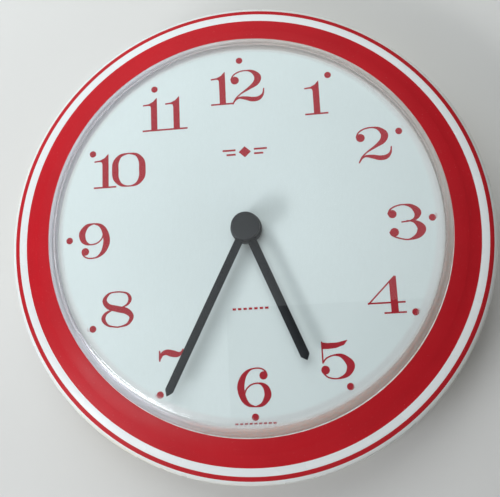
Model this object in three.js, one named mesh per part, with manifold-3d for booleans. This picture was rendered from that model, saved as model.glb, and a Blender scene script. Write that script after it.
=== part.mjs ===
// Round quartz wall clock, millimetres, +Z up, face towards -Y, back on the wall plane y = 0.
// The origin is the point of the wall plane where the nail's shank sits in the keyhole.
//
// Every piece is drawn "on the bench": x to the right, y up the dial, z from the wall towards
// the viewer, with the hand shaft on the z axis. One turned group then hangs the clock up.
import * as THREE from 'three';
import { mergeVertices } from 'three/addons/utils/BufferGeometryUtils.js';
import Module from 'manifold-3d';

const wasm = await Module();
wasm.setup();

// ---------------------------------------------------------------- driving dimensions

const CASE_RADIUS = 125;
const HOOK_TO_CENTRE = 92;
const ROUND = 48;                    // segments of the large turned pieces
const SMALL_ROUND = 20;              // segments of bushes, washers and bosses
const FINE_ROUND = 10;               // segments of thin arbors, pivots and screws

// heights above the wall plane
const DIAL_FACE = 27;
const DIAL_SHEET = 0.5;
const PLATE_FRONT = 26.4;
const PLATE_BACK = 24.4;
const MOVEMENT_FRONT = 23.4;

// front rings, radius and height above the dial face
const OPENING_RADIUS = 102;
const RED_BAND_INNER = { radius: 102.4, height: 2.7 };
const RED_BAND_OUTER = { radius: 116.3, height: -0.7 };
const STRIPE_INNER = { radius: 120.2, height: -0.8 };
const STRIPE_OUTER = { radius: 122.5, height: -1.5 };

// crystal
const CRYSTAL_RISE = 12.2;
const CRYSTAL_WALL = 2;
const CRYSTAL_RADIUS = 101.7;
const SHOULDER_RADIUS = 11;

// hands, angles clockwise from twelve
const MINUTE_HAND = { angle: 207.3, reach: 91, width: 4.2, point: 2.8, level: 33.4 };
const HOUR_HAND = { angle: 158.3, reach: 72, width: 4.6, point: 2.6, level: 31.5 };
const BLADE = 0.5;
const MINUTE_CAP_RADIUS = 7.2;
const HOUR_BOSS_RADIUS = 7.9;

// shaft assembly
const BUSH_RADIUS = 4;
const BUSH_BORE = 2.9;
const BUSH_TOP = 30.2;
const HOUR_TUBE = { outer: 2.5, inner: 1.9 };
const MINUTE_ARBOR_RADIUS = 1.6;

// movement box
const MOVEMENT_HALF = 28;
const MOVEMENT_WALL = 1.6;
const LID_DEPTH = 15;                // front of the movement to the lid's inner face
const MOVEMENT_DEPTH = 16.6;
const ROOM_DIVIDER = -11.2;          // the battery lies below this line
const BRIDGE_DEPTH = 13.2;
const BRIDGE_THICKNESS = 1;
const ARBOR_RADIUS = 0.5;
const PIVOT_RADIUS = 0.3;

// AA cell
const CELL_RADIUS = 7.1;
const CELL_LENGTH = 50.5;
const CELL_NUB = 1;
const CELL_Y = -19.5;
const CELL_DEPTH = 9;

// going train: teeth, gear module in millimetres, and where each mesh line points
const FIRST_MESH = { wheel: 48, pinion: 6, module: 0.36, toward: 45 };
const SECOND_MESH = { wheel: 45, pinion: 6, module: 0.32, toward: 110 };
const THIRD_MESH = { wheel: 36, pinion: 6, module: 0.29, toward: 150 };
const ROTOR_MESH = { wheel: 30, pinion: 6, module: 0.27, toward: 170 };
// motion work: cannon pinion drives the minute wheel, whose pinion drives the hour wheel
const CANNON_MESH = { wheel: 30, pinion: 10, module: 0.42, toward: -10 };
const HOUR_MESH = { wheel: 32, pinion: 8, module: 0.42 };
const SETTING_MESH = { gear: 16, module: 0.42, toward: 15 };

// ---------------------------------------------------------------- materials

function finish(color, roughness, metalness = 0) {
  return new THREE.MeshStandardMaterial({ color, roughness, metalness });
}

const FINISHES = {
  whitePlastic: finish(0xe6e8e6, 0.35),
  clearPlastic: new THREE.MeshStandardMaterial({
    color: 0xe8efef, roughness: 0.08, transparent: true, opacity: 0.3,
  }),
  dialPaper: finish(0xe4eae8, 0.6),
  handBlack: finish(0x24272b, 0.5, 0.1),
  blackPlastic: finish(0x1d1e20, 0.55),
  naturalPlastic: finish(0xe9e4d4, 0.5),
  steel: finish(0xb9bcc0, 0.35, 0.9),
  brass: finish(0xc9a24d, 0.35, 0.9),
  rubber: finish(0x222222, 0.85),
  circuitBoard: finish(0x2c6b45, 0.6),
  copper: finish(0xb8672f, 0.4, 0.8),
  magnet: finish(0x55565a, 0.5, 0.7),
  cellWrap: finish(0x30527f, 0.4, 0.2),
};

// ---------------------------------------------------------------- solids

// A closed geometry as a manifold solid, turned right side out whichever way it was drawn.
function solid(geometry) {
  const bare = geometry.index ? geometry.toNonIndexed() : geometry.clone();
  bare.deleteAttribute('normal');
  bare.deleteAttribute('uv');
  const merged = mergeVertices(bare, 1e-5);
  const points = merged.attributes.position.array;
  const triangles = dropSlivers(merged.index.array);
  if (signedVolume(points, triangles) < 0) {
    flip(triangles);
  }
  const mesh = new wasm.Mesh({
    numProp: 3,
    vertProperties: new Float32Array(points),
    triVerts: new Uint32Array(triangles),
  });
  return new wasm.Manifold(mesh);
}

function dropSlivers(index) {
  const kept = [];
  for (let i = 0; i < index.length; i += 3) {
    const [a, b, c] = [index[i], index[i + 1], index[i + 2]];
    if (a !== b && b !== c && c !== a) {
      kept.push(a, b, c);
    }
  }
  return kept;
}

function signedVolume(points, triangles) {
  const corner = (i) => new THREE.Vector3().fromArray(points, 3 * i);
  let volume = 0;
  for (let i = 0; i < triangles.length; i += 3) {
    const [a, b, c] = [0, 1, 2].map((k) => corner(triangles[i + k]));
    volume += a.dot(b.cross(c)) / 6;
  }
  return volume;
}

function flip(triangles) {
  for (let i = 0; i < triangles.length; i += 3) {
    const last = triangles[i + 2];
    triangles[i + 2] = triangles[i + 1];
    triangles[i + 1] = last;
  }
}

function join(...solids) {
  return solids.reduce((all, one) => all.add(one));
}

function cut(body, ...tools) {
  return tools.reduce((rest, tool) => rest.subtract(tool), body);
}

function toMesh(name, body, material) {
  const { vertProperties, triVerts } = body.getMesh();
  const geometry = new THREE.BufferGeometry();
  geometry.setAttribute('position', new THREE.BufferAttribute(vertProperties, 3));
  geometry.setIndex(new THREE.BufferAttribute(triVerts, 1));
  const mesh = new THREE.Mesh(geometry, material);
  mesh.name = name;
  return mesh;
}

// A ring or disc turned about the z axis from a closed profile of [radius, z] points.
function turned(profile, segments = SMALL_ROUND) {
  const closed = [...profile, profile[0]].map(([r, z]) => new THREE.Vector2(r, z));
  return solid(new THREE.LatheGeometry(closed, segments).rotateX(Math.PI / 2));
}

// A turned solid whose profile starts and ends on the axis.
function turnedSolid(profile, segments = SMALL_ROUND) {
  const open = profile.map(([r, z]) => new THREE.Vector2(r, z));
  return solid(new THREE.LatheGeometry(open, segments).rotateX(Math.PI / 2));
}

function rod(radius, low, high, segments = SMALL_ROUND) {
  return turnedSolid([[0, low], [radius, low], [radius, high], [0, high]], segments);
}

function ring(inner, outer, low, high, segments = SMALL_ROUND) {
  const profile = [[inner, low], [outer, low], [outer, high], [inner, high]];
  return turned(profile, segments);
}

function block(lowCorner, highCorner) {
  const size = highCorner.map((value, i) => value - lowCorner[i]);
  const middle = highCorner.map((value, i) => (value + lowCorner[i]) / 2);
  return solid(new THREE.BoxGeometry(...size).translate(...middle));
}

// A flat plate cut to an outline of [x, y] points or to a Shape, between two heights.
function plate(outline, low, high, curveSegments = 8) {
  const shape = Array.isArray(outline)
    ? new THREE.Shape(outline.map(([x, y]) => new THREE.Vector2(x, y)))
    : outline;
  const options = { depth: high - low, bevelEnabled: false, curveSegments };
  return solid(new THREE.ExtrudeGeometry(shape, options).translate(0, 0, low));
}

function moved(body, x, y, z = 0) {
  return body.translate([x, y, z]);
}

// A point at a distance from another, in a direction given in degrees from the x axis.
function step(from, distance, degrees) {
  const angle = THREE.MathUtils.degToRad(degrees);
  return {
    x: from.x + distance * Math.cos(angle),
    y: from.y + distance * Math.sin(angle),
  };
}

// Height above the wall of a level given as a depth behind the movement's front face.
function behind(depth) {
  return MOVEMENT_FRONT - depth;
}

function roundedSquare(half, corner) {
  const shape = new THREE.Shape();
  const straight = half - corner;
  shape.moveTo(-straight, -half);
  shape.lineTo(straight, -half);
  shape.absarc(straight, -straight, corner, -Math.PI / 2, 0);
  shape.absarc(straight, straight, corner, 0, Math.PI / 2);
  shape.absarc(-straight, straight, corner, Math.PI / 2, Math.PI);
  shape.absarc(-straight, -straight, corner, Math.PI, 1.5 * Math.PI);
  return shape;
}

// ---------------------------------------------------------------- case

const BEZEL_THICKNESS = 2.2;
const FLANGE_TOP = 27;
const FLANGE_RADIUS = 106;
const LIP_UNDERSIDE = 27.2;
const SCREW_CIRCLE = 113;
const SCREW_ANGLES = [45, 135, 225, 315];
const PLATE_FLANGE = { low: 18, high: 20, radius: 118.5 };
const SCREW_BOSS = { radius: 3.2, bore: 1.4, low: 20.2, deep: 24.4 };
const REAR_RIM = { inner: 121.6, outer: 124 };

function caseFrame() {
  const face = (ringPoint) => [ringPoint.radius, DIAL_FACE + ringPoint.height];
  const profile = [
    [OPENING_RADIUS, LIP_UNDERSIDE],
    [OPENING_RADIUS, 29.3],
    [OPENING_RADIUS + 0.25, 29.6],
    face(RED_BAND_INNER),
    face(RED_BAND_OUTER),
    face(STRIPE_INNER),
    face(STRIPE_OUTER),
    [123.8, 24.5],
    [124.7, 23.2],
    [CASE_RADIUS, 21.6],
    [CASE_RADIUS, 20.2],
    [REAR_RIM.outer, 0],
    [REAR_RIM.inner, 0],
    [122.6, 20],
    [120.4, 23.6],
    [RED_BAND_OUTER.radius, DIAL_FACE + RED_BAND_OUTER.height - BEZEL_THICKNESS],
    [107.2, 25.75],
    [FLANGE_RADIUS + 0.4, LIP_UNDERSIDE],
  ];
  let frame = turned(profile, ROUND);
  for (const angle of SCREW_ANGLES) {
    const at = step({ x: 0, y: 0 }, SCREW_CIRCLE, angle);
    const boss = rod(SCREW_BOSS.radius, SCREW_BOSS.low, 25.6, FINE_ROUND);
    const bore = rod(SCREW_BOSS.bore, SCREW_BOSS.low - 1, SCREW_BOSS.deep, FINE_ROUND);
    frame = cut(join(frame, moved(boss, at.x, at.y)), moved(bore, at.x, at.y));
  }
  for (let i = 0; i < 8; i += 1) {
    const web = block([119.2, -0.6, 14], [122.9, 0.6, 24]);
    frame = join(frame, web.rotate([0, 0, 22.5 + 45 * i]));
  }
  return frame;
}

function crystal() {
  const top = DIAL_FACE + CRYSTAL_RISE;
  const shoulder = top - SHOULDER_RADIUS;
  const outer = CRYSTAL_RADIUS - 0.6;
  const inner = outer - CRYSTAL_WALL;
  const innerCurve = SHOULDER_RADIUS - CRYSTAL_WALL;
  const profile = [[0, top - CRYSTAL_WALL]];
  profile.push(...shoulderArc(inner - innerCurve, shoulder, innerCurve).reverse());
  profile.push([98.9, 28], [98.9, 27.1], [100.1, 27.1], [100.1, 25.6]);
  profile.push([FLANGE_RADIUS, 25.6], [FLANGE_RADIUS, FLANGE_TOP]);
  profile.push([CRYSTAL_RADIUS, FLANGE_TOP]);
  profile.push(...shoulderArc(outer - SHOULDER_RADIUS, shoulder, SHOULDER_RADIUS));
  profile.push([0, top]);
  return turnedSolid(profile, ROUND);
}

// Quarter circle from the side wall up and over to the flat top.
function shoulderArc(centreRadius, centreHeight, radius, steps = 4) {
  const points = [];
  for (let i = 0; i <= steps; i += 1) {
    const angle = (i / steps) * Math.PI / 2;
    const reach = centreRadius + radius * Math.cos(angle);
    points.push([reach, centreHeight + radius * Math.sin(angle)]);
  }
  return points;
}

function dialSheet() {
  return ring(BUSH_RADIUS + 0.4, 99.7, DIAL_FACE - DIAL_SHEET, DIAL_FACE, ROUND);
}

const RIB_LEVEL = 22;
const EMBED_LEVEL = PLATE_BACK + 0.4;    // ribs and bosses run this far into the plate
const HANGER = {
  half: 13, low: 74, high: 101, back: 3, thickness: 2,
  foot: 18, footHalf: 22, screwX: 17.5, screwY: 91,
};
const KEYHOLE = { holeRadius: 5, holeDrop: 10, slotHalf: 2.5 };

function backPlate() {
  const profile = [
    [BUSH_RADIUS + 0.3, PLATE_BACK],
    [BUSH_RADIUS + 0.3, PLATE_FRONT],
    [99.9, PLATE_FRONT],
    [99.9, 25.5],
    [106.8, 25.5],
    [106.8, PLATE_FLANGE.high],
    [PLATE_FLANGE.radius, PLATE_FLANGE.high],
    [PLATE_FLANGE.radius, PLATE_FLANGE.low],
    [104.8, PLATE_FLANGE.low],
    [104.8, 23.5],
    [97.6, 23.5],
    [96.6, PLATE_BACK],
  ];
  let body = turned(profile, ROUND);
  body = join(body, ring(62, 63.5, RIB_LEVEL, EMBED_LEVEL, ROUND));
  for (let i = 0; i < 8; i += 1) {
    const rib = block([44, -0.7, RIB_LEVEL], [103, 0.7, EMBED_LEVEL]);
    body = join(body, rib.rotate([0, 0, 22.5 + 45 * i]));
  }
  for (const angle of SCREW_ANGLES) {
    const at = step({ x: 0, y: 0 }, SCREW_CIRCLE, angle);
    const hole = rod(1.7, PLATE_FLANGE.low - 1, PLATE_FLANGE.high + 1, FINE_ROUND);
    body = cut(body, moved(hole, at.x, at.y));
  }
  for (const side of [-1, 1]) {
    const boss = rod(3, HANGER.foot + HANGER.thickness + 0.2, EMBED_LEVEL, FINE_ROUND);
    const bore = rod(1.1, HANGER.foot, 25.6, FINE_ROUND);
    body = join(body, moved(boss, side * HANGER.screwX, HANGER.screwY));
    body = cut(body, moved(bore, side * HANGER.screwX, HANGER.screwY));
  }
  return body;
}

// A raised bridge with a keyhole: the nail's head goes in at the round hole, and the clock
// then drops until the shank stops at the top of the slot.
function hangerBracket() {
  const { half, low, high, back, thickness, foot, footHalf, screwX, screwY } = HANGER;
  let bracket = block([-half, low, back], [half, high, back + thickness]);
  for (const side of [-1, 1]) {
    const across = (from, to) => [side * from, side * to].sort((a, b) => a - b);
    const [legLeft, legRight] = across(half - thickness, half);
    const [footLeft, footRight] = across(half - thickness, footHalf);
    bracket = join(
      bracket,
      block([legLeft, low, back], [legRight, high, foot + thickness]),
      block([footLeft, screwY - 7, foot], [footRight, screwY + 7, foot + thickness]),
    );
    const hole = rod(1.4, foot - 1, foot + thickness + 1, FINE_ROUND);
    bracket = cut(bracket, moved(hole, side * screwX, screwY));
  }
  const hole = rod(KEYHOLE.holeRadius, back - 1, back + thickness + 1);
  const slotEnd = rod(KEYHOLE.slotHalf, back - 1, back + thickness + 1);
  const slot = block(
    [-KEYHOLE.slotHalf, HOOK_TO_CENTRE - KEYHOLE.holeDrop, back - 1],
    [KEYHOLE.slotHalf, HOOK_TO_CENTRE, back + thickness + 1],
  );
  return cut(
    bracket,
    moved(hole, 0, HOOK_TO_CENTRE - KEYHOLE.holeDrop),
    moved(slotEnd, 0, HOOK_TO_CENTRE),
    slot,
  );
}

// Pan-head screw with a cross slot. Its head bears on a surface at the seat's height.
function screw(seat, headRadius, shankRadius, length) {
  const head = seat - 1.8;
  const body = turnedSolid([
    [0, head], [headRadius - 0.7, head], [headRadius, head + 0.6], [headRadius, seat],
    [shankRadius, seat], [shankRadius, seat + length - 1], [0, seat + length],
  ], FINE_ROUND);
  const arm = headRadius * 0.6;
  return cut(
    body,
    block([-arm, -0.3, head - 1], [arm, 0.3, head + 0.9]),
    block([-0.3, -arm, head - 1], [0.3, arm, head + 0.9]),
  );
}

function caseScrew(angle) {
  const at = step({ x: 0, y: 0 }, SCREW_CIRCLE, angle);
  return moved(screw(PLATE_FLANGE.low - 0.1, 2.8, 1.1, 5.8), at.x, at.y);
}

function hangerScrew(side) {
  return moved(screw(HANGER.foot - 0.1, 2.4, 0.8, 6.6), side * HANGER.screwX, HANGER.screwY);
}

// ---------------------------------------------------------------- shaft fasteners

function rubberWasher() {
  return ring(BUSH_RADIUS + 0.3, 9, MOVEMENT_FRONT + 0.1, PLATE_BACK - 0.1);
}

function nutWasher() {
  return ring(BUSH_RADIUS + 0.2, 6.8, DIAL_FACE + 0.1, DIAL_FACE + 0.6);
}

function shaftNut() {
  const corner = 5.5 / Math.cos(Math.PI / 6);
  const low = DIAL_FACE + 0.7;
  return cut(rod(corner, low, low + 2, 6), rod(BUSH_RADIUS + 0.2, low - 1, low + 3));
}

// ---------------------------------------------------------------- hands

// A straight baton that ends in a short point, drawn towards twelve.
function batonBlade(hand, start) {
  const half = hand.width / 2;
  const outline = [
    [-half, start],
    [half, start],
    [half, hand.reach - hand.point],
    [0, hand.reach],
    [-half, hand.reach - hand.point],
  ];
  return plate(outline, hand.level, hand.level + BLADE);
}

function hourHand() {
  const eye = ring(2.8, 5.6, HOUR_HAND.level, HOUR_HAND.level + BLADE);
  return join(eye, batonBlade(HOUR_HAND, 3.4)).rotate([0, 0, -HOUR_HAND.angle]);
}

// The boss is a shallow cup that hides the nut.
function hourHandBoss() {
  const top = HOUR_HAND.level - 0.1;
  return turned([
    [HOUR_TUBE.outer + 0.15, top - 0.9],
    [7, top - 0.9],
    [7, DIAL_FACE + 1.2],
    [HOUR_BOSS_RADIUS, DIAL_FACE + 1.2],
    [HOUR_BOSS_RADIUS, top - 0.4],
    [HOUR_BOSS_RADIUS - 0.4, top],
    [HOUR_TUBE.outer + 0.15, top],
  ]);
}

function minuteHand() {
  const bore = MINUTE_ARBOR_RADIUS + 0.15;
  const low = MINUTE_HAND.level;
  const eye = ring(bore, 5, low, low + BLADE);
  const collet = ring(bore, 2.9, low - 1, low + BLADE);
  return join(eye, collet, batonBlade(MINUTE_HAND, 3)).rotate([0, 0, -MINUTE_HAND.angle]);
}

function minuteHandCap() {
  const bore = MINUTE_ARBOR_RADIUS + 0.15;
  const low = MINUTE_HAND.level + BLADE + 0.1;
  return turnedSolid([
    [0, low + 1.2], [bore, low + 1.2], [bore, low], [MINUTE_CAP_RADIUS - 0.2, low],
    [MINUTE_CAP_RADIUS, low + 0.3], [MINUTE_CAP_RADIUS, low + 1.7],
    [MINUTE_CAP_RADIUS - 0.5, low + 2.2], [0, low + 2.2],
  ]);
}

// ---------------------------------------------------------------- gears

// Outline of a spur gear with one tooth centred on the direction "toothAt", in degrees.
function gearShape(teeth, module, toothAt) {
  const pitch = (2 * Math.PI) / teeth;
  const root = module * (teeth / 2 - 1.25);
  const tip = module * (teeth / 2 + 0.85);
  const corners = [
    { radius: root, offset: -0.29 },
    { radius: tip, offset: -0.1 },
    { radius: tip, offset: 0.1 },
    { radius: root, offset: 0.29 },
  ];
  const start = THREE.MathUtils.degToRad(toothAt);
  const points = [];
  for (let tooth = 0; tooth < teeth; tooth += 1) {
    for (const { radius, offset } of corners) {
      const angle = start + (tooth + offset) * pitch;
      points.push(new THREE.Vector2(radius * Math.cos(angle), radius * Math.sin(angle)));
    }
  }
  return new THREE.Shape(points);
}

// Gear between two depths behind the movement's front face.
function gear(teeth, module, toothAt, nearDepth, farDepth) {
  return plate(gearShape(teeth, module, toothAt), behind(farDepth), behind(nearDepth));
}

function arbor(nearDepth, farDepth, radius = ARBOR_RADIUS) {
  return rod(radius, behind(farDepth), behind(nearDepth), FINE_ROUND);
}

// An arbor with a thin pivot at each end, for holes in the housing and in the bridge.
function pivotedArbor() {
  const pivots = arbor(1, BRIDGE_DEPTH + 0.8, PIVOT_RADIUS);
  return join(arbor(1.9, BRIDGE_DEPTH - 0.3), pivots);
}

function reach(mesh) {
  return (mesh.module * (mesh.wheel + mesh.pinion)) / 2;
}

// Tooth direction for the driven gear, so that a gap of it faces the tooth that points at it.
function gapToward(teeth, toward) {
  return toward + 180 + 180 / teeth;
}

const CENTRE = { x: 0, y: 0 };
const THIRD_AXIS = step(CENTRE, reach(FIRST_MESH), FIRST_MESH.toward);
const SECONDS_AXIS = step(THIRD_AXIS, reach(SECOND_MESH), SECOND_MESH.toward);
const STEP_AXIS = step(SECONDS_AXIS, reach(THIRD_MESH), THIRD_MESH.toward);
const ROTOR_AXIS = step(STEP_AXIS, reach(ROTOR_MESH), ROTOR_MESH.toward);
const MINUTE_WHEEL_AXIS = step(CENTRE, reach(CANNON_MESH), CANNON_MESH.toward);
const SETTING_REACH = (SETTING_MESH.module * (CANNON_MESH.wheel + SETTING_MESH.gear)) / 2;
const SETTING_AXIS = step(MINUTE_WHEEL_AXIS, SETTING_REACH, SETTING_MESH.toward);
const PIVOTED_AXES = [THIRD_AXIS, SECONDS_AXIS, STEP_AXIS, ROTOR_AXIS];

function placed(body, axis) {
  return moved(body, axis.x, axis.y);
}

function minuteArbor() {
  const { pinion, module, toward } = CANNON_MESH;
  const top = MINUTE_HAND.level + BLADE + 1;
  return join(
    rod(MINUTE_ARBOR_RADIUS, behind(5.3), top),
    gear(pinion, module, toward, 3.6, 5),
    arbor(5, BRIDGE_DEPTH - 0.3, 1),
    arbor(5, BRIDGE_DEPTH + 0.8, 0.6),
  );
}

// The centre wheel sits on the arbor with a friction fit, which slips when the time is set.
function centreWheel() {
  const { wheel, module, toward } = FIRST_MESH;
  const body = join(gear(wheel, module, toward, 6, 7), arbor(5.6, 8, 2.2));
  return cut(body, arbor(5, 9, 1.15));
}

function thirdWheel() {
  const pinionTooth = gapToward(FIRST_MESH.pinion, FIRST_MESH.toward);
  return placed(join(
    gear(FIRST_MESH.pinion, FIRST_MESH.module, pinionTooth, 5.8, 8.1),
    gear(SECOND_MESH.wheel, SECOND_MESH.module, SECOND_MESH.toward, 8, 9),
    pivotedArbor(),
  ), THIRD_AXIS);
}

function secondsWheel() {
  const pinionTooth = gapToward(SECOND_MESH.pinion, SECOND_MESH.toward);
  return placed(join(
    gear(SECOND_MESH.pinion, SECOND_MESH.module, pinionTooth, 7.8, 10.1),
    gear(THIRD_MESH.wheel, THIRD_MESH.module, THIRD_MESH.toward, 10, 11),
    pivotedArbor(),
  ), SECONDS_AXIS);
}

function stepWheel() {
  const pinionTooth = gapToward(THIRD_MESH.pinion, THIRD_MESH.toward);
  return placed(join(
    gear(THIRD_MESH.pinion, THIRD_MESH.module, pinionTooth, 9.8, 11.9),
    gear(ROTOR_MESH.wheel, ROTOR_MESH.module, ROTOR_MESH.toward, 11.8, 12.6),
    pivotedArbor(),
  ), STEP_AXIS);
}

function rotorPinion() {
  const pinionTooth = gapToward(ROTOR_MESH.pinion, ROTOR_MESH.toward);
  return placed(join(
    gear(ROTOR_MESH.pinion, ROTOR_MESH.module, pinionTooth, 11.6, 12.8),
    pivotedArbor(),
  ), ROTOR_AXIS);
}

function rotorMagnet() {
  return placed(ring(ARBOR_RADIUS + 0.1, 3, behind(8), behind(5.6)), ROTOR_AXIS);
}

function minuteWheel() {
  const wheelTooth = gapToward(CANNON_MESH.wheel, CANNON_MESH.toward);
  const pinionTooth = CANNON_MESH.toward + 180;
  return placed(join(
    gear(CANNON_MESH.wheel, CANNON_MESH.module, wheelTooth, 3.8, 4.8),
    gear(HOUR_MESH.pinion, HOUR_MESH.module, pinionTooth, 2.1, 3.9),
    arbor(1, 5.4),
  ), MINUTE_WHEEL_AXIS);
}

function hourWheel() {
  const wheelTooth = CANNON_MESH.toward + 180 / HOUR_MESH.wheel;
  const wheel = gear(HOUR_MESH.wheel, HOUR_MESH.module, wheelTooth, 2.1, 3.3);
  const tube = rod(HOUR_TUBE.outer, behind(3.3), HOUR_HAND.level + BLADE);
  return cut(join(wheel, tube), rod(HOUR_TUBE.inner, behind(4), HOUR_HAND.level + 1));
}

function settingKnob() {
  const tooth = settingTooth();
  const knurl = gearShape(20, 0.43, 0);
  return placed(join(
    gear(SETTING_MESH.gear, SETTING_MESH.module, tooth, 3.8, 4.8),
    arbor(1, MOVEMENT_DEPTH + 0.5, 1.4),
    plate(knurl, behind(MOVEMENT_DEPTH + 2.2), behind(MOVEMENT_DEPTH + 0.3)),
  ), SETTING_AXIS);
}

// The setting gear turns so that its gap meets whichever minute wheel tooth is on the line.
function settingTooth() {
  const { wheel, toward } = CANNON_MESH;
  const wheelPitch = 360 / wheel;
  const firstTooth = gapToward(wheel, toward);
  const line = SETTING_MESH.toward;
  const lag = (line - firstTooth) / wheelPitch;
  const share = lag - Math.floor(lag);
  const pitch = 360 / SETTING_MESH.gear;
  return gapToward(SETTING_MESH.gear, line) + share * pitch;
}

// ---------------------------------------------------------------- movement

const PILLARS = [{ x: 13.5, y: 17.5 }, { x: -9.8, y: 6.6 }, { x: 13.5, y: -8.6 }];
const CONTACT_SLOT = { low: 25, high: 26.4 };

function movementHousing() {
  const inner = MOVEMENT_HALF - MOVEMENT_WALL;
  const outline = plate(roundedSquare(MOVEMENT_HALF, 3), behind(LID_DEPTH - 0.2), MOVEMENT_FRONT);
  const gearRoom = block([-inner, ROOM_DIVIDER, behind(17)], [inner, inner, behind(1.6)]);
  const cellRoom = block([-inner, -26.9, behind(17)], [inner, ROOM_DIVIDER - 1, behind(1.6)]);
  let housing = cut(outline, gearRoom, cellRoom);
  for (const at of PILLARS) {
    housing = join(
      housing,
      placed(arbor(1, BRIDGE_DEPTH - 0.1, 1.5), at),
      placed(arbor(1, BRIDGE_DEPTH + BRIDGE_THICKNESS + 0.4, 0.8), at),
    );
  }
  housing = join(housing, rod(BUSH_RADIUS, MOVEMENT_FRONT - 0.5, BUSH_TOP));
  for (const at of [...PIVOTED_AXES, MINUTE_WHEEL_AXIS]) {
    housing = cut(housing, placed(arbor(0.7, 2, ARBOR_RADIUS + 0.15), at));
  }
  const notch = block(
    [CONTACT_SLOT.low, ROOM_DIVIDER - 2, behind(5.4)],
    [CONTACT_SLOT.high, ROOM_DIVIDER + 1, behind(2.6)],
  );
  const tailNotch = block(
    [-CONTACT_SLOT.high, ROOM_DIVIDER - 2, behind(5.4)],
    [-CONTACT_SLOT.low, ROOM_DIVIDER + 1, behind(2.6)],
  );
  const settingHole = placed(arbor(0.7, 2, 1.6), SETTING_AXIS);
  return cut(housing, rod(BUSH_BORE, behind(3), BUSH_TOP + 1), notch, tailNotch, settingHole);
}

function movementCover() {
  const low = behind(MOVEMENT_DEPTH);
  const half = MOVEMENT_HALF;
  const sheet = plate(roundedSquare(half, 3), low, behind(LID_DEPTH));
  const cellSide = block([-half - 1, -half - 1, low - 1], [half + 1, ROOM_DIVIDER - 1, MOVEMENT_FRONT]);
  const knobHole = placed(rod(1.7, low - 1, MOVEMENT_FRONT), SETTING_AXIS);
  const collar = placed(rod(3.2, low, behind(LID_DEPTH - 0.5)), SETTING_AXIS);
  const recess = placed(ring(6.4, 7.4, low - 1, low + 0.5), SETTING_AXIS);
  return cut(join(cut(sheet, cellSide), collar), knobHole, recess);
}

function trainBridge() {
  const outline = [
    [-12, 4.4], [-10.4, 22.4], [8, 22.4], [15.2, 19.4], [15.2, -10.3], [11.4, -10.3], [-3, -5.4],
  ];
  let bridge = plate(outline, behind(BRIDGE_DEPTH + BRIDGE_THICKNESS), behind(BRIDGE_DEPTH));
  for (const at of PIVOTED_AXES) {
    bridge = cut(bridge, placed(arbor(BRIDGE_DEPTH - 1, 16, PIVOT_RADIUS + 0.15), at));
  }
  for (const at of PILLARS) {
    bridge = cut(bridge, placed(arbor(BRIDGE_DEPTH - 1, 16, 1), at));
  }
  return cut(bridge, arbor(BRIDGE_DEPTH - 1, 16, 0.8));
}

const COIL = { x: -20, low: 6.8, high: 23, depth: 5.6, radius: 3.6, core: 0.8 };

// A solid turned about the coil's own axis, which runs along y.
function turnedAlongCoil(profile) {
  const body = turned(profile).rotate([-90, 0, 0]);
  return moved(body, COIL.x, 0, behind(COIL.depth));
}

function coilBobbin() {
  const { low, high, radius } = COIL;
  const flange = 1.2;
  return turnedAlongCoil([
    [1.3, low], [radius, low], [radius, low + flange], [1.9, low + flange],
    [1.9, high - flange], [radius, high - flange], [radius, high], [1.3, high],
  ]);
}

function coilWinding() {
  const { low, high, radius } = COIL;
  const gap = 1.3;
  return turnedAlongCoil([
    [2, low + gap], [radius - 0.3, low + gap], [radius - 0.3, high - gap], [2, high - gap],
  ]);
}

function coilCore() {
  const { x, low, high, depth, core } = COIL;
  return block(
    [x - core, low - 3, behind(depth + 0.6)],
    [x + core, high + 3, behind(depth - 0.6)],
  );
}

// Soft-iron sheet from one end of the coil core round the rotor to the other end.
function stator() {
  const near = 6.3;
  const far = 7.3;
  const hub = placed(arbor(near, far, 5.4), ROTOR_AXIS);
  const upper = plate(
    [[-21.4, 26], [-21.4, 23.4], [-15.8, 23.4], [-9, 19.6], [-4, 23.2], [-7, 26]],
    behind(far), behind(near),
  );
  const lower = plate(
    [[-21.4, 3.8], [-15.8, 3.8], [-6, 14], [-9, 18.4], [-15.8, 6.4], [-21.4, 6.4]],
    behind(far), behind(near),
  );
  const eye = placed(arbor(near - 1, far + 1, 3.5), ROTOR_AXIS);
  const relief = placed(arbor(near - 1, far + 1, 0.9), STEP_AXIS);
  return cut(join(hub, upper, lower), eye, relief);
}

const BOARD = { left: -26, right: -12.4, low: -9.6, high: 1.8, near: 5.6, far: 6.6 };

function circuitBoard() {
  return block([BOARD.left, BOARD.low, behind(BOARD.far)], [BOARD.right, BOARD.high, behind(BOARD.near)]);
}

function chipBlob() {
  const level = BOARD.far + 0.1;
  const dome = turnedSolid([
    [0, behind(level + 1.2)], [1.6, behind(level + 1)], [2.3, behind(level + 0.4)],
    [2.4, behind(level)], [0, behind(level)],
  ]);
  return moved(dome, -21.8, -4.4);
}

function quartzCan() {
  const body = turnedSolid([
    [0, -3.1], [0.8, -3.1], [1, -2.9], [1, 2.6], [1.1, 2.7], [1.1, 3.1], [0, 3.1],
  ], 16);
  return moved(body.rotate([90, 0, 0]), -15.4, -4, behind(BOARD.far + 1.3));
}

// Spring strip at the flat end of the cell, with a tail through the divider to the board.
function contactNegative() {
  const outline = [
    [-26.2, -25], [-25.9, -25], [-25.9, -23.2], [-24.9, -20], [-25.9, -15.6],
    [-25.9, -8.6], [-26.2, -8.6], [-26.2, -15.7], [-25.3, -20], [-26.2, -23.1],
  ];
  return plate(outline, behind(5.2), behind(3.2));
}

// Flat strip at the cap end of the cell, led back along the divider to the board.
function contactPositive() {
  const outline = [
    [26.2, -25], [26.2, -10.5], [-13, -10.5], [-13, -10.85], [25.85, -10.85], [25.85, -25],
  ];
  return plate(outline, behind(5.2), behind(3.2));
}

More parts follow.
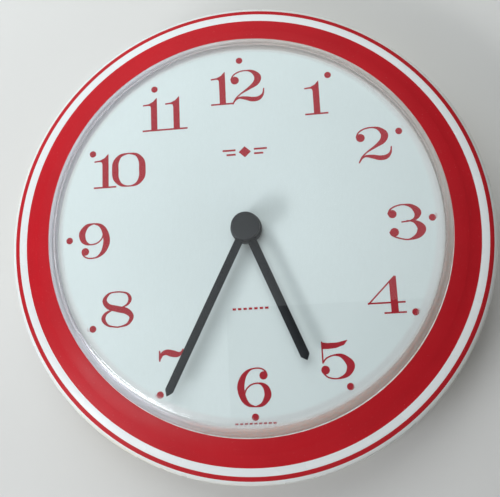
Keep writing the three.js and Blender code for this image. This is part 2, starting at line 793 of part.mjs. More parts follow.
function batteryCell() {
  const end = CELL_LENGTH / 2;
  const wrap = end - CELL_NUB;
  const profile = [
    [0, -end], [CELL_RADIUS - 0.7, -end], [CELL_RADIUS, -end + 0.5], [CELL_RADIUS, wrap - 0.5],
    [CELL_RADIUS - 0.6, wrap], [2.75, wrap], [2.6, end], [0, end],
  ];
  const body = turnedSolid(profile).rotate([0, 90, 0]);
  return moved(body, 0.5, CELL_Y, behind(CELL_DEPTH));
}

// ---------------------------------------------------------------- assembly

const PIECES = [
  ['case_frame', caseFrame(), FINISHES.whitePlastic],
  ['crystal', crystal(), FINISHES.clearPlastic],
  ['dial_sheet', dialSheet(), FINISHES.dialPaper],
  ['back_plate', backPlate(), FINISHES.whitePlastic],
  ['hanger_bracket', hangerBracket(), FINISHES.whitePlastic],
  ['hanger_screw_left', hangerScrew(-1), FINISHES.steel],
  ['hanger_screw_right', hangerScrew(1), FINISHES.steel],
  ['rubber_washer', rubberWasher(), FINISHES.rubber],
  ['nut_washer', nutWasher(), FINISHES.brass],
  ['shaft_nut', shaftNut(), FINISHES.brass],
  ['hour_hand', hourHand(), FINISHES.handBlack],
  ['hour_hand_boss', hourHandBoss(), FINISHES.handBlack],
  ['minute_hand', minuteHand(), FINISHES.handBlack],
  ['minute_hand_cap', minuteHandCap(), FINISHES.handBlack],
  ['minute_arbor', minuteArbor(), FINISHES.steel],
  ['centre_wheel', centreWheel(), FINISHES.naturalPlastic],
  ['third_wheel', thirdWheel(), FINISHES.naturalPlastic],
  ['seconds_wheel', secondsWheel(), FINISHES.naturalPlastic],
  ['step_wheel', stepWheel(), FINISHES.naturalPlastic],
  ['rotor_pinion', rotorPinion(), FINISHES.naturalPlastic],
  ['rotor_magnet', rotorMagnet(), FINISHES.magnet],
  ['minute_wheel', minuteWheel(), FINISHES.naturalPlastic],
  ['hour_wheel', hourWheel(), FINISHES.naturalPlastic],
  ['setting_knob', settingKnob(), FINISHES.blackPlastic],
  ['movement_housing', movementHousing(), FINISHES.blackPlastic],
  ['movement_cover', movementCover(), FINISHES.blackPlastic],
  ['train_bridge', trainBridge(), FINISHES.naturalPlastic],
  ['coil_bobbin', coilBobbin(), FINISHES.naturalPlastic],
  ['coil_winding', coilWinding(), FINISHES.copper],
  ['coil_core', coilCore(), FINISHES.steel],
  ['stator', stator(), FINISHES.steel],
  ['circuit_board', circuitBoard(), FINISHES.circuitBoard],
  ['chip_blob', chipBlob(), FINISHES.blackPlastic],
  ['quartz_can', quartzCan(), FINISHES.steel],
  ['contact_negative', contactNegative(), FINISHES.steel],
  ['contact_positive', contactPositive(), FINISHES.steel],
  ['battery_cell', batteryCell(), FINISHES.cellWrap],
];
SCREW_ANGLES.forEach((angle, i) => {
  PIECES.push([`case_screw_${i + 1}`, caseScrew(angle), FINISHES.steel]);
});

const clock = new THREE.Group();
for (const [name, body, material] of PIECES) {
  clock.add(toMesh(name, body, material));
}
clock.rotation.x = Math.PI / 2;
clock.position.z = -HOOK_TO_CENTRE;

const object = new THREE.Group();
object.add(clock);

export default object;
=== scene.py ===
"""Round quartz wall clock: the looks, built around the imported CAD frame.

Pieces are drawn "on the bench" in millimetres: x to the right, y up the dial, z from the wall
towards the viewer, with the hand shaft on the z axis. world() turns that into the row frame.
"""
import math

import bmesh
import bpy
from mathutils import Matrix, Vector
from mathutils.geometry import delaunay_2d_cdt

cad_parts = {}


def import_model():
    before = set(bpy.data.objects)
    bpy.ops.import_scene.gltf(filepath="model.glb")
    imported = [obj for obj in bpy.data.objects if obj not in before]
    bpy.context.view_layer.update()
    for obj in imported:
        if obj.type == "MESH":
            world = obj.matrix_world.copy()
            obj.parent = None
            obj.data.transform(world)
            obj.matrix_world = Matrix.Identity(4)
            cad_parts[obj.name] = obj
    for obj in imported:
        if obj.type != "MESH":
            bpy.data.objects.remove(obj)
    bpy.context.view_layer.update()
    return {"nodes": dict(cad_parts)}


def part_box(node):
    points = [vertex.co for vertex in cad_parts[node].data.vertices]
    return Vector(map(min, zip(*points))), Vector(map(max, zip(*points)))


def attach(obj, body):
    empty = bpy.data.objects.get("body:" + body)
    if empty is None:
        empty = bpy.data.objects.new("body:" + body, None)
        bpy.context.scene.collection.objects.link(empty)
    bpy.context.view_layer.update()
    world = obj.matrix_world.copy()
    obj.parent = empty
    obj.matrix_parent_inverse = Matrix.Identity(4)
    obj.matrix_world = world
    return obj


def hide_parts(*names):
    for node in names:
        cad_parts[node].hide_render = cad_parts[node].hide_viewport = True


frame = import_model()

MM = 0.001


# ---- places read from the frame

def node_box_mm(node):
    return [[value / MM for value in corner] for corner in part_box(node)]


_dial_low, _dial_high = node_box_mm("dial_sheet")
_case_low, _case_high = node_box_mm("case_frame")
_crystal_low, _crystal_high = node_box_mm("crystal")
CENTRE_Z = (_dial_low[2] + _dial_high[2]) / 2
DIAL_FACE = -_dial_low[1]
DIAL_BACK = -_dial_high[1]
DIAL_RADIUS = (_dial_high[0] - _dial_low[0]) / 2
CASE_RADIUS = (_case_high[0] - _case_low[0]) / 2
CRYSTAL_TOP = -_crystal_low[1]
FLANGE_RADIUS = (_crystal_high[0] - _crystal_low[0]) / 2

# front rings: radius and height above the dial face
RED_BAND_INNER = (102.4, 2.7)
RED_BAND_OUTER = (116.3, -0.7)
STRIPE_INNER = (120.2, -0.8)
STRIPE_OUTER = (122.5, -1.5)
OPENING_RADIUS = 102.0
REAR_RIM_INNER = 121.6
REAR_RIM_OUTER = 124.0
ROUND = 256    # facets of the large rings
EDGE_ANGLE = math.radians(32)    # a sharper bend than this is drawn as an edge

MINUTE_ANGLE = 207.3
HOUR_ANGLE = 158.3


def world(x, y, z):
    """Row-frame point in metres of a bench point in millimetres."""
    return Vector((x * MM, -z * MM, (y + CENTRE_Z) * MM))


def polar(radius, degrees):
    """Bench x and y of a point at an angle counted anticlockwise from the x axis."""
    angle = math.radians(degrees)
    return radius * math.cos(angle), radius * math.sin(angle)


def clock_point(radius, degrees):
    """Bench x and y of a point at an angle counted clockwise from twelve."""
    return polar(radius, 90 - degrees)


# ---- mesh helpers

def placed(name, data):
    """A new object in the scene."""
    made = bpy.data.objects.new(name, data)
    bpy.context.scene.collection.objects.link(made)
    return made


def make_object(name, points, faces, face_materials=None, materials=()):
    """A mesh object from bench points in millimetres, with its normals facing out."""
    mesh = bpy.data.meshes.new(name)
    mesh.from_pydata([world(*p) for p in points], [], faces)
    for material in materials:
        mesh.materials.append(material)
    if face_materials:
        mesh.polygons.foreach_set("material_index", face_materials)
    work = bmesh.new()
    work.from_mesh(mesh)
    bmesh.ops.remove_doubles(work, verts=work.verts, dist=1e-7)
    bmesh.ops.recalc_face_normals(work, faces=work.faces)
    work.to_mesh(mesh)
    work.free()
    mesh.shade_smooth()
    mesh.set_sharp_from_angle(angle=EDGE_ANGLE)
    return placed(name, mesh)


def finish_piece(piece, body, slot, *nodes):
    """Names the piece's body and hides the CAD nodes it stands for; the slot is not used."""
    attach(piece, body)
    if nodes:
        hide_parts(*nodes)


def rounded(corners, steps=5):
    """Closed profile from (r, z, fillet, material) corners, each fillet as an arc of points.

    The material may be left out. Returns (r, z, material) points; the material is that of the
    edge that starts there.
    """
    corners = [(*corner, 0)[:4] for corner in corners]
    points = []
    count = len(corners)
    for i, (r, z, fillet, material) in enumerate(corners):
        here = Vector((r, z))
        before = Vector(corners[i - 1][:2])
        after = Vector(corners[(i + 1) % count][:2])
        if fillet <= 0:
            points.append((r, z, material))
            continue
        back = (before - here).normalized()
        ahead = (after - here).normalized()
        half = math.acos(max(-1, min(1, back.dot(ahead)))) / 2
        reach = min(fillet / math.tan(half), 0.49 * (before - here).length,
                    0.49 * (after - here).length)
        middle = here + (back + ahead).normalized() * (reach / math.cos(half))
        start = here + back * reach - middle
        end = here + ahead * reach - middle
        for step in range(steps + 1):
            t = step / steps
            point = middle + start.slerp(end, t) * start.length
            edge = material if step == steps else corners[i - 1][3]
            points.append((point.x, point.y, edge))
    return points


def lathe_faces(profile, segments, closed=True):
    """Points, faces and face materials of a profile turned about the shaft's axis."""
    points = []
    rows = []
    for r, z, _ in profile:
        if r < 1e-6:
            rows.append([len(points)] * segments)
            points.append((0, 0, z))
            continue
        rows.append(list(range(len(points), len(points) + segments)))
        for k in range(segments):
            x, y = polar(r, 360 * k / segments)
            points.append((x, y, z))
    faces = []
    kinds = []
    last = len(profile) if closed else len(profile) - 1
    for i in range(last):
        row, following = rows[i], rows[(i + 1) % len(profile)]
        for k in range(segments):
            k2 = (k + 1) % segments
            corners = [row[k], row[k2], following[k2], following[k]]
            face = [v for n, v in enumerate(corners) if v not in corners[:n]]
            if len(face) > 2:
                faces.append(face)
                kinds.append(profile[i][2])
    return points, faces, kinds


def turned(name, corners, materials, segments=96, closed=True, steps=5, place=None):
    """A profile turned about the shaft; place moves its points elsewhere."""
    points, faces, kinds = lathe_faces(rounded(corners, steps), segments, closed)
    if place:
        points = [place(*point) for point in points]
    return make_object(name, points, faces, kinds, materials)


def extruded(name, first, second):
    """A solid between two outlines of (x, y, z) points that match one to one."""
    count = len(first)
    faces = [list(range(count))[::-1], list(range(count, 2 * count))]
    for i in range(count):
        j = (i + 1) % count
        faces.append([i, j, count + j, count + i])
    return make_object(name, first + second, faces)


def prism(name, outline, low, high):
    """A plate cut to an outline of bench (x, y) points, between two heights."""
    return extruded(name, [(x, y, low) for x, y in outline], [(x, y, high) for x, y in outline])


def box(name, low, high):
    outline = [(low[0], low[1]), (high[0], low[1]), (high[0], high[1]), (low[0], high[1])]
    return prism(name, outline, low[2], high[2])


def disc(x, y, radius, segments=32):
    """Outline of a circle."""
    return [(x + px, y + py) for px, py in
            (polar(radius, 360 * k / segments) for k in range(segments))]


def cylinder(name, x, y, radius, low, high, segments=48):
    return prism(name, disc(x, y, radius, segments), low, high)


def rounded_rectangle(left, low, right, high, corner, steps=8):
    """Outline of a rectangle with round corners, anticlockwise."""
    outline = []
    centres = [(right - corner, low + corner, -90), (right - corner, high - corner, 0),
               (left + corner, high - corner, 90), (left + corner, low + corner, 180)]
    for cx, cy, start in centres:
        for step in range(steps + 1):
            px, py = polar(corner, start + 90 * step / steps)
            outline.append((cx + px, cy + py))
    return outline


def boolean(piece, operation, tools):
    """Joins the tools to the piece, or cuts them from it, and deletes them."""
    for tool in tools:
        modifier = piece.modifiers.new("cut", "BOOLEAN")
        modifier.operation = operation
        modifier.solver = "EXACT"
        modifier.object = tool
        apply_modifiers(piece)
        bpy.data.objects.remove(tool)


def join_objects(objects):
    """One object from several that lie apart from each other."""
    first = objects[0]
    with bpy.context.temp_override(active_object=first, selected_editable_objects=objects,
                                   selected_objects=objects):
        bpy.ops.object.join()
    return first


def apply_modifiers(piece):
    graph = bpy.context.evaluated_depsgraph_get()
    graph.update()
    mesh = bpy.data.meshes.new_from_object(piece.evaluated_get(graph))
    piece.modifiers.clear()
    piece.data = mesh


def soften(piece, width, angle):
    """Rounds edges sharper than an angle in degrees, by a width in millimetres."""
    modifier = piece.modifiers.new("soft_edges", "BEVEL")
    modifier.width = width * MM
    modifier.segments = 3
    modifier.limit_method = "ANGLE"
    modifier.angle_limit = math.radians(angle)
    modifier.use_clamp_overlap = True
    modifier.harden_normals = False
    apply_modifiers(piece)
    piece.data.shade_smooth()
    piece.data.set_sharp_from_angle(angle=math.radians(40))


# ---- materials

class Nodes:
    """Short names for building one material's node tree."""

    def __init__(self, name):
        self.material = bpy.data.materials.new(name)
        self.material.use_nodes = True
        self.tree = self.material.node_tree
        self.tree.nodes.clear()
        self.output = self.add("ShaderNodeOutputMaterial")
        self.place = self.add("ShaderNodeTexCoord").outputs["Object"]

    def add(self, kind, **values):
        node = self.tree.nodes.new(kind)
        for key, value in values.items():
            setattr(node, key, value)
        return node

    def link(self, source, target):
        self.tree.links.new(source, target)

    def put(self, value, socket):
        """Sets a socket to a number or a colour, or links it to another socket."""
        if isinstance(value, (int, float)):
            socket.default_value = value
        elif isinstance(value, (tuple, list)):
            socket.default_value = (*value, 1)
        else:
            self.link(value, socket)

    def part(self, kind, **sockets):
        """A node with numbers or colours set on its sockets."""
        node = self.add("ShaderNode" + kind)
        for name, value in sockets.items():
            self.put(value, node.inputs[name])
        return node

    def noise(self, scale, detail=3, roughness=0.55, stretch=None):
        """Noise with a feature size given in features per metre."""
        node = self.part("TexNoise", Scale=scale, Detail=detail, Roughness=roughness)
        place = self.place
        if stretch:
            mapping = self.part("Mapping", Vector=place)
            mapping.inputs["Scale"].default_value = stretch
            place = mapping.outputs["Vector"]
        self.link(place, node.inputs["Vector"])
        return node.outputs["Fac"]

    def ramp(self, value, stops):
        """Colour ramp with (position, grey or colour) stops."""
        node = self.add("ShaderNodeValToRGB")
        ramp = node.color_ramp
        while len(ramp.elements) < len(stops):
            ramp.elements.new(0.5)
        for element, (position, colour) in zip(ramp.elements, stops):
            element.position = position
            if isinstance(colour, (int, float)):
                colour = (colour, colour, colour)
            element.color = (*colour, 1)
        self.link(value, node.inputs["Fac"])
        return node.outputs["Color"]

    def patches(self, scale, detail, *stops):
        """Noise spread over the stops of a ramp."""
        return self.ramp(self.noise(scale, detail), stops)

    def math(self, operation, a, b=None):
        node = self.add("ShaderNodeMath", operation=operation)
        self.put(a, node.inputs[0])
        if b is not None:
            self.put(b, node.inputs[1])
        return node.outputs["Value"]

    def mix(self, factor, a, b):
        """Mixes two colours by a factor socket or number."""
        node = self.add("ShaderNodeMix", data_type="RGBA")
        for socket, value in ((0, factor), (6, a), (7, b)):
            self.put(value, node.inputs[socket])
        return node.outputs[2]

    def coordinate(self, axis):
        """One coordinate in metres from the nail: X to the right, Z upwards."""
        return self.part("SeparateXYZ", Vector=self.place).outputs[axis]

    def blend(self, factor, a, b):
        """Mixes two shader nodes by a factor socket."""
        node = self.add("ShaderNodeMixShader")
        self.link(factor, node.inputs["Fac"])
        for socket, source in ((node.inputs[1], a), (node.inputs[2], b)):
            self.link(source.outputs[0], socket)
        return node

    def between(self, value, start, end, top):
        """Rises from 0 at the start to the top value at the end, and stays there."""
        node = self.add("ShaderNodeMapRange", interpolation_type="SMOOTHSTEP")
        for socket, number in zip(("From Min", "From Max", "To Min", "To Max"),
                                  (start, end, 0.0, top)):
            node.inputs[socket].default_value = number
        self.link(value, node.inputs["Value"])
        return node.outputs["Result"]

    def axis_distance(self):
        """Distance in metres from the hand shaft's axis."""
        across = self.coordinate("X")
        up = self.math("SUBTRACT", self.coordinate("Z"), CENTRE_Z * MM)
        squares = self.math("ADD", self.math("MULTIPLY", across, across),
                            self.math("MULTIPLY", up, up))
        return self.math("SQRT", squares)

    def bump(self, height, strength, distance_mm):
        node = self.part("Bump", Strength=strength, Distance=distance_mm * MM, Height=height)
        return node.outputs["Normal"]

    def shader(self, colour, roughness, normal, **fixed):
        """A Principled shader as the surface; sockets take links, numbers or colours."""
        node = self.part("BsdfPrincipled", Roughness=roughness, Normal=normal, **fixed)
        self.put(colour, node.inputs["Base Color"])
        self.link(node.outputs["BSDF"], self.output.inputs["Surface"])
        return self.material


def band_mask(nodes, radius_mm, width_mm):
    """1 on a ring of the given radius that fades out over the width either side."""
    offset = nodes.math("ABSOLUTE", nodes.math("SUBTRACT", nodes.axis_distance(), radius_mm * MM))
    inside = nodes.math("SUBTRACT", 1.0, nodes.math("DIVIDE", offset, width_mm * MM))
    return nodes.math("MAXIMUM", inside, 0.0)


def moulded_plastic(name, colour, shade, roughness, grain_mm, bump):
    """Moulded plastic: faint blotches, a fine surface grain and rubbed patches."""
    nodes = Nodes(name)
    blotch = nodes.patches(18, 4, (0.3, 0.0), (0.72, 1.0))
    tone = nodes.mix(blotch, colour, shade)
    fleck = nodes.patches(900, 2, (0.62, 0.0), (0.78, 0.35))
    tone = nodes.mix(fleck, tone, tuple(0.86 * c for c in colour))
    rubbed = nodes.patches(40, 5, (0.3, roughness * 0.82), (0.7, roughness * 1.22))
    grain = nodes.noise(1000 / grain_mm, 3)
    return nodes.shader(tone, rubbed, nodes.bump(grain, bump, 0.05), IOR=1.52)


def white_case_plastic():
    """The case's white plastic, yellowed a little towards its outer edge."""
    nodes = Nodes("white_case_plastic")
    blotch = nodes.patches(12, 4, (0.35, 0.0), (0.7, 1.0))
    tone = nodes.mix(blotch, (0.70, 0.715, 0.715), (0.665, 0.68, 0.67))
    outside = nodes.math("SUBTRACT", nodes.axis_distance(), STRIPE_OUTER[0] * MM + 0.0001)
    edge = nodes.math("DIVIDE", outside, 0.0022)
    edge = nodes.math("MINIMUM", nodes.math("MAXIMUM", edge, 0.0), 1.0)
    patchy = nodes.patches(9, 3, (0.38, 0.1), (0.62, 0.85))
    tone = nodes.mix(nodes.math("MULTIPLY", edge, patchy), tone, (0.66, 0.60, 0.47))
    dust = nodes.patches(2400, 2, (0.66, 0.0), (0.8, 0.5))
    tone = nodes.mix(dust, tone, (0.55, 0.54, 0.5))
    seam = band_mask(nodes, 102.1, 0.5)
    grime = nodes.patches(220, 4, (0.4, 0.1), (0.65, 0.8))
    tone = nodes.mix(nodes.math("MULTIPLY", seam, grime), tone, (0.42, 0.36, 0.27))
    gloss = nodes.patches(35, 5, (0.3, 0.22), (0.7, 0.36))
    peel = nodes.noise(700, 2)
    return nodes.shader(tone, gloss, nodes.bump(peel, 0.06, 0.06), IOR=1.5)


def printed_red(name, colour, shade, gloss):
    """Screen-printed red ink: a slightly uneven film with pinholes and a soft sheen."""
    nodes = Nodes(name)
    film = nodes.patches(26, 4, (0.3, 0.0), (0.75, 1.0))
    tone = nodes.mix(film, colour, shade)
    pinhole = nodes.patches(2600, 1, (0.74, 0.0), (0.8, 0.55))
    tone = nodes.mix(pinhole, tone, (0.62, 0.34, 0.32))
    worn = nodes.patches(55, 5, (0.35, gloss * 0.85), (0.7, gloss * 1.25))
    ink = nodes.noise(1300, 2)
    sheen = {"IOR": 1.5, "Specular IOR Level": 0.2}
    return nodes.shader(tone, worn, nodes.bump(ink, 0.07, 0.04), **sheen)


def dial_paper():
    """Matt coated card: cool white, faint fibres, and a little age towards its rim."""
    nodes = Nodes("dial_card")
    cloud = nodes.patches(14, 4, (0.3, 0.0), (0.7, 1.0))
    tone = nodes.mix(cloud, (0.735, 0.78, 0.775), (0.715, 0.76, 0.752))
    fibre = nodes.ramp(nodes.noise(1500, 3, stretch=(1, 1, 0.35)), [(0.3, 0.0), (0.8, 0.25)])
    tone = nodes.mix(fibre, tone, (0.62, 0.66, 0.64))
    rim = band_mask(nodes, 99.5, 2.4)
    tone = nodes.mix(nodes.math("MULTIPLY", rim, 0.35), tone, (0.5, 0.46, 0.42))
    rough = nodes.patches(60, 3, (0.3, 0.5), (0.7, 0.62))
    return nodes.shader(tone, rough, nodes.bump(nodes.noise(2200, 2), 0.1, 0.03), IOR=1.45)


def black_lacquer():
    """Satin black lacquer on the stamped hands, with hairline rubs along their length."""
    nodes = Nodes("black_lacquer")
    cloud = nodes.patches(80, 4, (0.3, 0.0), (0.7, 1.0))
    tone = nodes.mix(cloud, (0.004, 0.005, 0.007), (0.007, 0.008, 0.010))
    dust = nodes.patches(3000, 2, (0.7, 0.0), (0.82, 0.5))
    tone = nodes.mix(dust, tone, (0.05, 0.05, 0.05))
    rough = nodes.patches(300, 4, (0.3, 0.42), (0.7, 0.56))
    lacquer = {"IOR": 1.5, "Specular IOR Level": 0.2}
    return nodes.shader(tone, rough, nodes.bump(nodes.noise(1800, 2), 0.12, 0.03), **lacquer)


ACRYLIC_IOR = 1.49


def clear_plastic():
    """The crystal: clear acrylic over the dial, a thin milky wall painted bluish on its left as a
    sky reflection, and grime at its foot.
    """
    nodes = Nodes("clear_crystal")
    far = nodes.axis_distance()
    rub = nodes.ramp(nodes.noise(70, 6, 0.7), [(0.45, 0.0), (0.8, 0.03)])
    pane = nodes.part("BsdfGlass", Color=(0.975, 0.985, 0.985), IOR=ACRYLIC_IOR, Roughness=rub)
    tint = nodes.part("BsdfTransparent", Color=(0.995, 0.975, 0.975))
    sheen = nodes.part("BsdfAnisotropic", Roughness=0.1)
    edge_on = nodes.part("Fresnel", IOR=ACRYLIC_IOR)
    wall = nodes.blend(nodes.math("ADD", edge_on.outputs["Fac"], 0.07), tint, sheen)

    # Painted reflection: the milky wall's colour runs from bluish on the left, which stands in for
    # the sky's reflection, to a warm tint on the right.
    painted_sky_reflection_and_warm_tint = nodes.mix(nodes.between(nodes.coordinate("X"), -0.06, 0.02, 1.0), (0.83, 0.83, 0.90),
                     (0.87, 0.79, 0.74))
    front = nodes.part("BsdfDiffuse", Color=painted_sky_reflection_and_warm_tint)
    inside = nodes.part("BsdfTranslucent", Color=painted_sky_reflection_and_warm_tint)
    milk = nodes.blend(nodes.patches(40, 3, (0.3, 0.35), (0.7, 0.65)), front, inside)
    wall = nodes.blend(nodes.between(far, 0.0955, 0.0985, 0.4), wall, milk)

    speck = nodes.patches(900, 3, (0.46, 0.35), (0.58, 1.0))
    settled = nodes.math("MULTIPLY", nodes.between(nodes.coordinate("Z"), -0.06, -0.15, 1.0),
                         nodes.between(nodes.coordinate("X"), -0.05, -0.01, 1.0))
    foot = nodes.between(far, 0.0965, 0.0985, 0.65)
    grime = nodes.part("BsdfDiffuse", Color=(0.50, 0.30, 0.25))
    amount = nodes.math("MULTIPLY", foot, nodes.math("MULTIPLY", speck, settled))
    wall = nodes.blend(amount, wall, grime)

    body = nodes.blend(nodes.between(far, 0.0912, 0.0938, 0.92), pane, wall)
    through = nodes.part("BsdfTransparent", Color=(0.95, 0.965, 0.965))
    path = nodes.part("LightPath")
    passing = nodes.math("MAXIMUM", path.outputs["Is Shadow Ray"], path.outputs["Is Diffuse Ray"])
    body = nodes.blend(passing, body, through)
    nodes.link(body.outputs["Shader"], nodes.output.inputs["Surface"])
    return nodes.material


def metal(name, colour, roughness, stretch=(1, 1, 1)):
    """Plated or turned metal with fine marks along one direction and dull patches."""
    nodes = Nodes(name)
    marks = nodes.noise(500, 4, stretch=stretch)
    dull = nodes.patches(90, 4, (0.35, 0.0), (0.7, 0.5))
    tone = nodes.mix(dull, colour, tuple(0.72 * c for c in colour))
    rough = nodes.ramp(marks, [(0.3, roughness * 0.75), (0.7, roughness * 1.35)])
    return nodes.shader(tone, rough, nodes.bump(marks, 0.12, 0.03), Metallic=1.0)


def circuit_green():
    """Green solder mask with tinned pads and tracks drawn by a brick pattern."""
    nodes = Nodes("circuit_green")
    upright = nodes.part("Mapping", Vector=nodes.place)
    upright.inputs["Rotation"].default_value = (math.radians(90), 0, 0)
    tracks = nodes.part("TexBrick", Scale=400, Vector=upright.outputs["Vector"])
    tracks.inputs["Mortar Size"].default_value = 0.03
    tone = nodes.mix(tracks.outputs["Fac"], (0.02, 0.12, 0.06), (0.05, 0.22, 0.11))
    rough = nodes.patches(300, 3, (0.3, 0.3), (0.7, 0.5))
    return nodes.shader(tone, rough, nodes.bump(tracks.outputs["Fac"], 0.2, 0.05))


def copper_winding():
    """Layers of fine enamelled wire, wound about the coil's upright axis."""
    nodes = Nodes("copper_winding")
    wave = nodes.add("ShaderNodeTexWave", wave_type="BANDS", bands_direction="Z")
    for name, value in (("Scale", 900), ("Distortion", 0.6), ("Vector", nodes.place)):
        nodes.put(value, wave.inputs[name])
    tone = nodes.mix(wave.outputs["Fac"], (0.28, 0.07, 0.025), (0.72, 0.28, 0.11))
    return nodes.shader(tone, 0.32, nodes.bump(wave.outputs["Fac"], 0.5, 0.08), Metallic=1.0)


def wall_paint(name, one_sided):
    """Matt pale paint, clear from its reverse if it is one-sided."""
    nodes = Nodes(name)
    tone = nodes.patches(6, 2, (0.3, (0.60, 0.59, 0.57)), (0.7, (0.62, 0.61, 0.59)))
    nodes.shader(tone, 0.85, nodes.bump(nodes.noise(300, 3), 0.05, 0.2))
    surface = nodes.output.inputs["Surface"]
    if one_sided:
        reverse = nodes.part("NewGeometry").outputs["Backfacing"]
        painted = surface.links[0].from_node
        nodes.link(nodes.blend(reverse, painted, nodes.part("BsdfTransparent")).outputs[0],
                   surface)
    return nodes.material


WHITE = white_case_plastic()
RED_BAND = printed_red("red_band_ink", (0.47, 0.011, 0.018), (0.41, 0.009, 0.015), 0.34)
RED_STRIPE = printed_red("red_stripe_ink", (0.45, 0.013, 0.020), (0.39, 0.011, 0.017), 0.36)
RED_PRINT = printed_red("red_number_ink", (0.40, 0.010, 0.022), (0.35, 0.008, 0.018), 0.5)
DIAL_CARD = dial_paper()
LACQUER = black_lacquer()
HUB_BLACK = moulded_plastic("hub_black", (0.005, 0.006, 0.008), (0.008, 0.009, 0.011), 0.5,
                            0.3, 0.1)
CLEAR = clear_plastic()
REAR_WHITE = moulded_plastic("rear_white_plastic", (0.70, 0.70, 0.67), (0.64, 0.635, 0.60), 0.5,
                             0.6, 0.15)
BLACK = moulded_plastic("movement_black", (0.018, 0.018, 0.020), (0.028, 0.028, 0.030), 0.55,
                        0.35, 0.35)
NATURAL = moulded_plastic("natural_acetal", (0.78, 0.74, 0.64), (0.72, 0.67, 0.56), 0.42, 0.4, 0.1)
RUBBER = moulded_plastic("washer_rubber", (0.02, 0.02, 0.02), (0.035, 0.035, 0.035), 0.8, 0.3, 0.3)
MAGNET = moulded_plastic("sintered_magnet", (0.07, 0.07, 0.075), (0.11, 0.11, 0.115), 0.6, 0.2, 0.4)
STEEL = metal("plated_steel", (0.62, 0.62, 0.63), 0.28, (1, 1, 6))
ZINC = metal("zinc_screw", (0.66, 0.64, 0.58), 0.32)
BRASS = metal("turned_brass", (0.78, 0.56, 0.24), 0.3)
CELL_WRAP = moulded_plastic("cell_wrap", (0.03, 0.07, 0.16), (0.025, 0.06, 0.14), 0.3, 1.2, 0.05)
CELL_BAND = moulded_plastic("cell_band", (0.45, 0.46, 0.47), (0.40, 0.41, 0.42), 0.3, 1.2, 0.05)
CIRCUIT = circuit_green()
COPPER = copper_winding()

# ---- flat pieces

def hull(points):
    """Convex hull of a few (x, y) points, anticlockwise."""
    points = sorted(set(points))
    sides = []
    for ordered in (points, points[::-1]):
        side = []
        for p in ordered:
            while len(side) > 1 and turn(side[-2], side[-1], p) <= 0:
                side.pop()
            side.append(p)
        sides += side[:-1]
    return sides


def turn(a, b, c):
    """Positive where the way from a to b to c turns left."""
    return (b[0] - a[0]) * (c[1] - a[1]) - (b[1] - a[1]) * (c[0] - a[0])


def anticlockwise(outline):
    area = sum(a[0] * b[1] - a[1] * b[0] for a, b in zip(outline, outline[1:] + outline[:1]))
    return outline if area > 0 else outline[::-1]


def flat_piece(name, solids, low, high, materials, holes=()):
    """A plate of even thickness: the union of some outlines, less some holes."""
    outlines = [anticlockwise(list(o)) for o in (*solids, *holes)]
    points = []
    faces = []
    for outline in outlines:
        faces.append(list(range(len(points), len(points) + len(outline))))
        points += [Vector(p) for p in outline]
    made = delaunay_2d_cdt(points, [], faces, 1, 1e-5, True)
    flat, triangles, origins = made[0], made[2], made[5]
    kept = [list(triangle) for triangle, origin in zip(triangles, origins)
            if origin and max(origin) < len(solids)]
    count = len(flat)
    vertices = [(p.x, p.y, low) for p in flat] + [(p.x, p.y, high) for p in flat]
    edges = dict.fromkeys(pair for t in kept for pair in zip(t, t[1:] + t[:1]))
    sides = [[a, b, b + count, a + count] for a, b in edges if (b, a) not in edges]
    tops = [[v + count for v in t] for t in kept]
    bottoms = [t[::-1] for t in kept]
    return make_object(name, vertices, tops + bottoms + sides, None, materials)


def spin(points, degrees):
    """Turns (x, y) points clockwise about the shaft."""
    angle = math.radians(-degrees)
    c, s = math.cos(angle), math.sin(angle)
    return [(x * c - y * s, x * s + y * c) for x, y in points]


# ---- case

def lift(ring_point):
    return ring_point[0], DIAL_FACE + ring_point[1]


CASE_SCREWS = [polar(113, angle) for angle in (45, 135, 225, 315)]
BRACKET_SCREWS = ((-17.5, 91), (17.5, 91))
RIB_ANGLES = [22.5 + 45 * i for i in range(8)]
SCREW_SEAT = 17.9


def case_shell():
    red_band, red_stripe = 1, 2    # white is 0, which is left out
    corners = [
        (OPENING_RADIUS, 27.2, 0.1),
        (OPENING_RADIUS, 29.68, 0.28),
        (*lift(RED_BAND_INNER), 0, red_band),
        (110, 28.1, 8, red_band),
        (*lift(RED_BAND_OUTER), 0),
        (116.7, 26.27, 0.3),
        (*lift(STRIPE_INNER), 0, red_stripe),
        (*lift(STRIPE_OUTER), 0),
        (124.3, 24.3, 0.9),
        (CASE_RADIUS, 22.4, 1.2),
        (CASE_RADIUS, 20.2, 0.4),
        (REAR_RIM_OUTER, 0, 0.5),
        (REAR_RIM_INNER, 0, 0.5),
        (122.6, 20, 1.2),
        (120.4, 23.6, 1.2),
        (116.3, 24.1, 1),
        (107.2, 25.75, 0.6),
        (106.4, 27.2, 0.2),
    ]
    shell = turned("case_shell", corners, (WHITE, RED_BAND, RED_STRIPE), ROUND)
    bosses = [cylinder("boss", *place, 3.2, 20.2, 25.6) for place in CASE_SCREWS]
    webs = [turn_about_shaft(box("web", (119.2, -0.6, 14), (122.9, 0.6, 24)), angle)
            for angle in RIB_ANGLES]
    bores = [cylinder("bore", *place, 1.4, 19, 24.4) for place in CASE_SCREWS]
    boolean(shell, "UNION", [join_objects(bosses + webs)])
    boolean(shell, "DIFFERENCE", [join_objects(bores)])
    shell.data.set_sharp_from_angle(angle=EDGE_ANGLE)
    finish_piece(shell, "case", "white_plastic", "case_frame")


def turn_about_shaft(piece, degrees):
    """Turns an object anticlockwise about the shaft's axis, as seen from the front."""
    centre = world(0, 0, 0)
    turned_by = Matrix.Rotation(math.radians(-degrees), 4, "Y")
    piece.data.transform(Matrix.Translation(centre) @ turned_by @ Matrix.Translation(-centre))
    return piece


